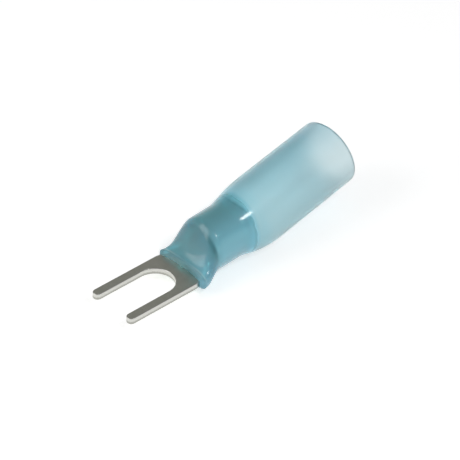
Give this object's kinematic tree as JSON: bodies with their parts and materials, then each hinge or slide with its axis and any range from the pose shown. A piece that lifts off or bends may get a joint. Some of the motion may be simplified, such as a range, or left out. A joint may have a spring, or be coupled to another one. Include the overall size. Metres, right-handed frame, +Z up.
{
  "type": "fork terminal",
  "caption": "Crimp fork terminal: flat slotted tongue, rolled wire barrel with a seam, and a translucent blue heat shrink sleeve that stays wide open behind the barrel.",
  "frame": {"origin": "middle of the object's lowest plane, where the sleeve's underside lies on a table", "axes": "+X along the terminal from the tine tips to the sleeve's mouth, +Y across the tines, +Z up, square to the tongue's flat top face"},
  "size_m": [0.0328, 0.0086, 0.0094],
  "materials": {
    "tinned_copper": "tin-plated copper, satin, with bright sheared edges",
    "blue_film": "translucent blue heat shrink tube, smooth, lined with clear hot-melt adhesive"
  },
  "bodies": {
    "root": {"terminal": "tinned_copper", "heat_shrink_sleeve": "blue_film"}
  },
  "joints": []
}
